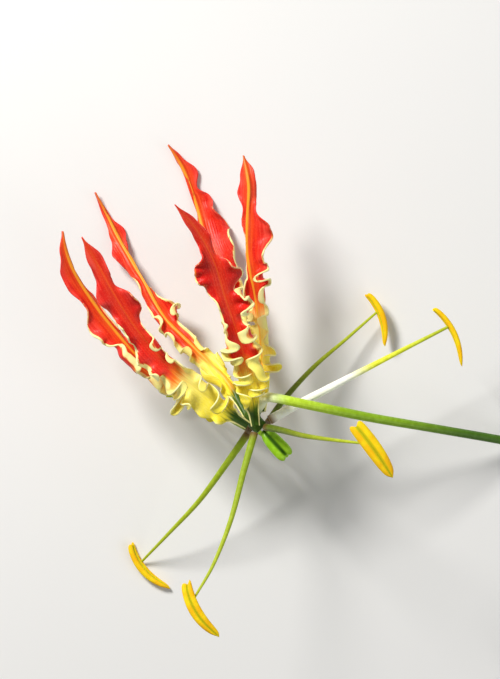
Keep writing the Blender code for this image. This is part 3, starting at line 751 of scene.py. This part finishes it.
def build_rod(name, node, route, radii, points, material, sides=10):
    """A tapering round stem: a path with a round bevel, thinned along its points, made into a mesh."""
    deselect()
    bpy.ops.curve.primitive_nurbs_path_add()
    piece = bpy.context.object
    curve = piece.data
    curve.splines.clear()
    shares = np.linspace(0, 1, points)
    centres = in_scene(smooth_route(route, shares))
    thickest = max(radii)
    curve.bevel_depth = thickest * MM
    curve.bevel_resolution = sides
    curve.use_fill_caps = True
    spline = curve.splines.new("POLY")
    spline.points.add(points - 1)
    radius = np.interp(shares, np.linspace(0, 1, len(radii)), radii) / thickest
    for point, centre, share in zip(spline.points, centres, radius):
        point.co = (*centre, 1)
        point.radius = share
    bpy.ops.object.convert(target="MESH")
    piece = bpy.context.object
    bpy.ops.object.mode_set(mode="EDIT")
    bpy.ops.mesh.select_all(action="SELECT")
    bpy.ops.mesh.remove_doubles(threshold=MERGED_WITHIN)
    bpy.ops.mesh.normals_make_consistent(inside=False)
    bpy.ops.object.mode_set(mode="OBJECT")
    mesh = piece.data
    corners = np.array([corner.co[:] for corner in mesh.vertices])
    away = np.linalg.norm(corners[:, None] - centres[None], axis=2)
    nearest = away.argmin(axis=1)
    stored(mesh, "along", nearest / (points - 1))
    along = unit(np.gradient(centres, axis=0))[nearest]
    side = unit(np.cross(along, UP))
    other = np.cross(side, along)
    out = corners - centres[nearest]
    stored(mesh, "round", np.arctan2((out * other).sum(axis=1), (out * side).sum(axis=1)))
    bpy.ops.object.shade_smooth_by_angle(angle=SMOOTH_ANGLE)
    return finished(piece, name, node, [material])


def lobed_radius(turn, lobes, offset, radius):
    """The outline of round lobes set about a middle, at this turn from the first."""
    sector = 2 * math.pi / lobes
    aside = (turn + sector / 2) % sector - sector / 2
    across = np.minimum(np.abs(offset * np.sin(aside)), radius)
    return offset * np.cos(aside) + np.sqrt(radius**2 - across**2)


def lobed_sphere(base, directions, shape, segments, rings):
    """A sphere drawn out along its last direction, with lobes raised round it.

    The shape gives the number of its lobes, its length, how far its middle is lifted, its turn about
    its length and how blunt its ends are. It gives the radius of a lobe, how far the lobe lies from the
    middle and how deep its ends are dented as functions of the share of the length.
    """
    side, other, way = directions
    deselect()
    bpy.ops.mesh.primitive_uv_sphere_add(segments=segments, ring_count=rings, radius=1)
    piece = bpy.context.object
    corners = np.array([corner.co[:] for corner in piece.data.vertices])
    share = (corners[:, 2] + 1) / 2
    turn = np.arctan2(corners[:, 1], corners[:, 0])
    fullness = np.sqrt(np.maximum(0.0, 1 - np.abs(corners[:, 2]) ** shape["blunt"]))
    reach = lobed_radius(turn, shape["lobes"], shape["offset"](share), shape["radius"](share)) * fullness
    seam = np.cos(shape["lobes"] * turn / 2) ** 2
    seam_dent = shape["dent"](share) * (1 - seam) * (1 - fullness) ** 0.5
    placed_along = share * shape["length"] + shape["dent"](share) * (1 - fullness) ** 2 * seam + seam_dent
    lift = shape["sag"] * (1 - (2 * share - 1) ** 2)
    turned = turn + shape["turn"]
    placed = np.asarray(base) + np.outer(np.cos(turned) * reach, side)
    placed += np.outer(np.sin(turned) * reach + lift, other)
    placed += np.outer(placed_along, way)
    piece.data.vertices.foreach_set("co", in_scene(placed).ravel())
    stored(piece.data, "along", share)
    stored(piece.data, "round", turn)
    stored(piece.data, "seam", 1 - seam)
    bpy.ops.object.shade_smooth()
    return piece


def build_anther(name, stamen, material):
    """An anther hung from the tip of its filament: two long pollen sacs, with a notch at each end."""
    end = np.array(stamen["route"][-1], float)
    lie = unit(stamen["lie"])
    way = np.array(stamen["bows"], float)
    bow = unit(way - (way @ lie) * lie)
    side = np.cross(bow, lie)
    hang = stamen["hang"]
    girth = stamen["girth"]
    turned = math.radians(stamen["turn"])
    back = lobed_radius(np.array([-math.pi / 2 - turned]), 2, SAC_APART * girth, girth)[0]
    lift = stamen["sag"] * (1 - (2 * hang - 1) ** 2)
    base = end + bow * (back + ANTHER_GAP - lift) - lie * hang * stamen["length"]

    def taper(share):
        return 1 - 0.14 * (1 - share) ** 3 - 0.5 * share**4

    shape = dict(
        lobes=2,
        length=stamen["length"],
        sag=stamen["sag"],
        turn=turned,
        blunt=14,
        radius=lambda share: girth * taper(share),
        offset=lambda share: SAC_APART * girth * taper(share),
        dent=lambda share: np.where(share < 0.5, LOWER_NOTCH, UPPER_NOTCH),
    )
    piece = lobed_sphere(base, (side, bow, lie), shape, *ANTHER_STEPS)
    return finished(piece, f"anther_{name}_sacs", f"anther_{name}", [material])


def build_ovary(settings, material):
    """The green ovary: three long lobes, parted at their tips."""
    way = unit(OVARY_WAY)
    first = -UP
    second = np.cross(way, first)
    shape = dict(
        lobes=3,
        length=settings.ovary_length / MM,
        sag=0.0,
        turn=0.0,
        blunt=4,
        radius=lambda share: OVARY_LOBE_RADIUS * (0.82 + 0.9 * share * (1 - share) - 0.1 * share),
        offset=lambda share: OVARY_LOBES_OUT * (0.6 + 0.75 * share),
        dent=lambda share: np.where(share > 0.5, -OVARY_NOTCH, 0.0),
    )
    piece = lobed_sphere(way * OVARY_FROM_HEART, (first, second, way), shape, *OVARY_STEPS)
    return finished(piece, "ovary_lobes", "ovary", [material])


def colour(name, text, value):
    """A colour that the user can change."""
    return bpy.props.FloatVectorProperty(
        name=name, description=text, default=value, subtype="COLOR", size=3, min=0.0, max=1.0)


def length_of(name, text, value):
    """A length in metres that the user can change."""
    return bpy.props.FloatProperty(name=name, description=text, default=value, unit="LENGTH", min=0.0)


class BloomSizes(bpy.types.PropertyGroup):
    """The sizes of the bloom's pieces."""

    keel_thickness: length_of("Keel thickness", "Thickness of a tepal along its midrib", 0.0009)
    margin_thickness: length_of("Margin thickness", "Thickness of a tepal at its margins", 0.00028)
    curl: bpy.props.FloatProperty(name="Curl", description="Strength of the margins' curl", default=1.15)
    tepal_rows: bpy.props.IntProperty(
        name="Rows", description="Steps along a tepal", default=260, min=20)
    tepal_columns: bpy.props.IntProperty(
        name="Columns", description="Steps across a tepal", default=32, min=4)
    filament_stoutness: bpy.props.FloatProperty(
        name="Filament stoutness",
        description="Thickness of every filament, as a share of its own",
        default=1.0,
        min=0.2,
        max=1.0,
    )
    ovary_length: length_of("Ovary length", "Length of the ovary", 0.008)
    style_radius: length_of("Style radius", "Radius of the style at the ovary", 0.0005)
    stigma_length: length_of("Stigma length", "Length of each arm of the stigma", 0.0042)
    floor_size: length_of("Surface size", "Side of the surface that the bloom lies on", 3.0)


class BloomColours(bpy.types.PropertyGroup):
    """The colours of the bloom and of its surroundings."""

    red: colour("Red", "Upper part of a tepal", (0.9, 0.028, 0.012))
    scarlet: colour("Scarlet", "Upper part of a tepal's outer face", (0.92, 0.045, 0.01))
    # This colour is a painted sheen: light glancing off the satin skin.
    pink_sheen: colour("Pink", "Flushed patches of a tepal", (0.93, 0.13, 0.11))
    fleck: colour("Fleck", "Fine flecks on a tepal", (0.97, 0.15, 0.09))
    red_deep: colour("Deep red", "Streaks on a tepal", (0.66, 0.008, 0.006))
    red_tip: colour("Tip red", "Tip of a tepal", (0.6, 0.014, 0.008))
    orange: colour("Orange", "Where red meets yellow", (0.9, 0.22, 0.02))
    yellow: colour("Yellow", "Lower part of a tepal", (0.95, 0.8, 0.025))
    cream: colour("Cream", "Margins of a tepal", (1.0, 0.95, 0.42))
    rib: colour("Midrib", "Raised midrib of a tepal", (0.96, 0.42, 0.03))
    claw: colour("Claw green", "Narrow foot of a tepal", (0.05, 0.12, 0.008))
    anther: colour("Anther", "Pollen sacs", (1.0, 0.75, 0.008))
    # The deep anther colour is partly the pollen's own varying tone and partly painted shade in the hollows
    # between grains.
    anther_deep_and_shade: colour("Anther shade", "Pollen in the hollows", (0.95, 0.52, 0.004))
    connective: colour("Connective", "Strip between the pollen sacs", (0.5, 0.56, 0.01))
    slit: colour("Slit", "Line along the middle of that strip", (0.3, 0.2, 0.02))
    filament_root: colour("Filament green", "Lower half of a green filament", (0.26, 0.37, 0.012))
    # The olive filament colour is painted shade. The pale and yellow ones are a painted highlight fading
    # along the most strongly lit filament.
    filament_shaded: colour("Filament olive", "Lower half of a darker filament", (0.1, 0.15, 0.01))
    filament_highlight: colour("Filament pale", "Lower half of the palest filament", (0.97, 0.97, 0.86))
    filament_yellow_lit: colour("Filament yellow", "Upper half of the palest filament", (0.78, 0.82, 0.03))
    filament_tip: colour("Filament tip", "Filament at the anther", (0.42, 0.5, 0.015))
    filament_brown: colour("Filament foot", "Brown foot of a filament", (0.18, 0.1, 0.03))
    ovary: colour("Ovary", "Ovary", (0.24, 0.52, 0.008))
    # Painted shade in the seams between the ovary's lobes.
    ovary_groove_shade: colour("Ovary groove", "Grooves between the ovary's lobes", (0.04, 0.12, 0.006))
    ovary_tip: colour("Ovary tip", "Tips of the ovary's lobes", (0.3, 0.56, 0.012))
    # The stalk's colours paint its light: its foot is painted shade where it runs in among the tepals, its
    # bend is a painted highlight, and beyond the bend the stalk darkens towards its cut end as a painted
    # falloff of the light.
    stalk_foot_shade: colour("Stalk foot", "Swelling of the stalk between the tepals", (0.06, 0.14, 0.01))
    stalk_bend_highlight: colour("Stalk bend", "Pale outside of the stalk's bend", (0.93, 0.96, 0.66))
    stalk_near_lit: colour("Stalk near", "Stalk beyond its bend", (0.5, 0.72, 0.03))
    stalk_middle_half_lit: colour("Stalk middle", "Middle of the stalk", (0.25, 0.44, 0.01))
    stalk_far_shade: colour("Stalk far", "Stalk at its cut end", (0.06, 0.15, 0.01))
    floor: colour("Surface", "Surface under the bloom", (0.8, 0.8, 0.79))


class LILY_OT_tepals(bpy.types.Operator):
    """Builds the six ruffled tepals"""

    bl_idname = "lily.tepals"
    bl_label = "Tepals"

    def execute(self, context):
        sizes = context.scene.bloom_sizes
        finish = context.scene.bloom_colours
        materials = [
            tepal_material("tepal_inner", finish, False),
            tepal_material("tepal_outer", finish, True),
            edge_material(finish),
        ]
        for seed, (name, shape) in enumerate(TEPALS.items()):
            build_tepal(name, shape, seed, sizes, materials)
        return {"FINISHED"}


class LILY_OT_stamens(bpy.types.Operator):
    """Builds the six filaments and the anthers at their tips"""

    bl_idname = "lily.stamens"
    bl_label = "Stamens"

    def execute(self, context):
        sizes = context.scene.bloom_sizes
        finish = context.scene.bloom_colours
        brown = (0.0, finish.filament_brown)
        green = [brown, (0.06, finish.filament_root), (1.0, finish.filament_tip)]
        # The olive and pale filament materials are shaded and lit copies of the green one: painted shade and
        # a painted highlight.
        shaded = [brown, (0.08, finish.filament_shaded), (1.0, finish.filament_tip)]
        pale = [brown, (0.05, finish.filament_highlight), (0.42, finish.filament_highlight),
                (0.6, finish.filament_yellow_lit), (1.0, finish.filament_tip)]
        stems = {
            "green": rod_material("filament_green", green, 0.42),
            "shaded": rod_material("filament_shaded", shaded, 0.42),
            "pale": rod_material("filament_highlight", pale, 0.42),
        }
        sacs = anther_material(finish)
        for name, stamen in STAMENS.items():
            radii = np.array((stamen["root"], stamen["tip"])) * sizes.filament_stoutness
            build_rod(f"filament_{name}_stem", f"filament_{name}", stamen["route"], radii,
                      STEM_POINTS, stems[stamen["shade"]])
            build_anther(name, stamen, sacs)
        return {"FINISHED"}


class LILY_OT_pistil(bpy.types.Operator):
    """Builds the ovary, and the style with its three stigma arms"""

    bl_idname = "lily.pistil"
    bl_label = "Ovary and style"

    def execute(self, context):
        sizes = context.scene.bloom_sizes
        finish = context.scene.bloom_colours
        shades = [(0.0, finish.ovary), (1.0, finish.ovary_tip)]
        build_ovary(sizes, rod_material("ovary", shades, 0.34, finish.ovary_groove_shade))
        green = rod_material("style", [(0.0, finish.ovary), (1.0, finish.filament_tip)], 0.42)
        radius = sizes.style_radius / MM
        build_rod("style_stem", "style", STYLE_ROUTE, (radius, 0.8 * radius), STEM_POINTS, green)
        end = np.array(STYLE_ROUTE[-1], float)
        way = unit(end - np.array(STYLE_ROUTE[-2], float))
        across = unit(np.cross(way, UP))
        for number, lean in enumerate((-1, 0, 1)):
            spread = math.radians(STIGMA_SPREAD) * lean
            tip = end + sizes.stigma_length / MM * (math.cos(spread) * way + math.sin(spread) * across)
            tip[2] = end[2] + STIGMA_RISE * (1 - abs(lean))
            middle = (end + tip) / 2 + STIGMA_BOW * lean * across
            build_rod(f"stigma_arm_{number}", "style", [end - STIGMA_SUNK * way, middle, tip],
                      STIGMA_RADII, ARM_POINTS, green)
        return {"FINISHED"}


class LILY_OT_stalk(bpy.types.Operator):
    """Builds the hooked stalk, swollen at the heart"""

    bl_idname = "lily.stalk"
    bl_label = "Stalk"

    def execute(self, context):
        finish = context.scene.bloom_colours
        # Painted light along the stalk: painted shade at its foot, a painted highlight on its bend, and a
        # painted falloff of the light that darkens it towards its cut end.
        shades = [(0.05, finish.stalk_foot_shade), (0.09, finish.stalk_bend_highlight), (0.125, finish.stalk_bend_highlight),
                  (0.19, finish.stalk_near_lit), (0.4, finish.stalk_middle_half_lit), (0.75, finish.stalk_far_shade)]
        green = rod_material("stalk", shades, 0.42)
        build_rod("stalk_stem", "stalk", STALK_ROUTE, STALK_RADII, STALK_POINTS, green, sides=14)
        return {"FINISHED"}


def area_light(name, place, aim, size, power, tint):
    """A square light at this place, turned to face its aim, with its power in watts."""
    bpy.ops.object.light_add(type="AREA", location=place)
    lamp = bpy.context.object
    lamp.name = name
    lamp.data.size = size
    lamp.data.energy = power
    lamp.data.color = tint
    direction = np.array(aim) - np.array(place)
    level = math.hypot(direction[0], direction[1])
    lamp.rotation_euler = (math.atan2(level, -direction[2]), 0, math.atan2(-direction[0], direction[1]))
    deselect()


class LILY_OT_stage(bpy.types.Operator):
    """Adds the pale surface, the soft lights and the camera over the bloom"""

    bl_idname = "lily.stage"
    bl_label = "Stage"

    def execute(self, context):
        sizes = context.scene.bloom_sizes
        finish = context.scene.bloom_colours
        scene = context.scene
        deselect()
        bpy.ops.mesh.primitive_plane_add(size=sizes.floor_size, location=(0, 0, -FLOOR_GAP))
        floor = context.object
        floor.name = "surface"
        material, shader, start = new_material("surface", 0.8)
        cloud = noise(start, object_place(start), 6.0)
        darker = (*(FLOOR_CLOUDS * part for part in finish.floor), 1)
        shade = cloud.between(0.2, 0.8).mix((*finish.floor, 1), darker)
        linked(start, shade, shader, "Base Color")
        floor.data.materials.append(material)
        area_light("key", place=(-0.3, 0.34, 0.42), aim=(-0.01, 0.0, 0.02), size=0.16, power=4.2,
                   tint=(1.0, 0.98, 0.95))
        area_light("fill", place=(0.5, -0.3, 0.45), aim=(0, 0, 0.02), size=0.5, power=1.3,
                   tint=(0.97, 0.98, 1.0))
        world = bpy.data.worlds.new("studio")
        world.use_nodes = True
        sky = world.node_tree.nodes["Background"]
        sky.inputs["Color"].default_value = (1, 1, 1, 1)
        sky.inputs["Strength"].default_value = SKY_STRENGTH
        scene.world = world
        place = in_scene((*CAMERA_ASIDE, CAMERA_AWAY))
        bpy.ops.object.camera_add(location=place, rotation=(0, 0, 0))
        camera = context.object
        camera.name = "camera"
        camera.data.sensor_fit = "VERTICAL"
        camera.data.sensor_height = SENSOR_HIGH
        camera.data.lens = SENSOR_HIGH * CAMERA_AWAY * POINTS_PER_MM / PICTURE_HIGH
        camera.data.clip_start = NEAREST_SEEN
        camera.data.clip_end = FURTHEST_SEEN
        scene.camera = camera
        scene.view_settings.view_transform = "Standard"
        deselect()
        return {"FINISHED"}


class LILY_PT_panel(bpy.types.Panel):
    """Lists the steps that build the bloom, and its sizes and colours"""

    bl_label = "Glory Lily"
    bl_space_type = "VIEW_3D"
    bl_region_type = "UI"
    bl_category = "Glory Lily"

    def draw(self, context):
        for step in STEPS:
            self.layout.operator(step.bl_idname)
        for group in (context.scene.bloom_sizes, context.scene.bloom_colours):
            box = self.layout.box()
            for name in group.__annotations__:
                box.prop(group, name)


STEPS = (LILY_OT_tepals, LILY_OT_stamens, LILY_OT_pistil, LILY_OT_stalk, LILY_OT_stage)
CLASSES = (BloomSizes, BloomColours, *STEPS, LILY_PT_panel)


def register():
    for kind in CLASSES:
        bpy.utils.register_class(kind)
    bpy.types.Scene.bloom_sizes = bpy.props.PointerProperty(type=BloomSizes)
    bpy.types.Scene.bloom_colours = bpy.props.PointerProperty(type=BloomColours)


def unregister():
    del bpy.types.Scene.bloom_colours
    del bpy.types.Scene.bloom_sizes
    for kind in reversed(CLASSES):
        bpy.utils.unregister_class(kind)


def main():
    register()
    bpy.ops.lily.tepals()
    bpy.ops.lily.stamens()
    bpy.ops.lily.pistil()
    bpy.ops.lily.stalk()
    bpy.ops.lily.stage()


if __name__ == "__main__":
    main()
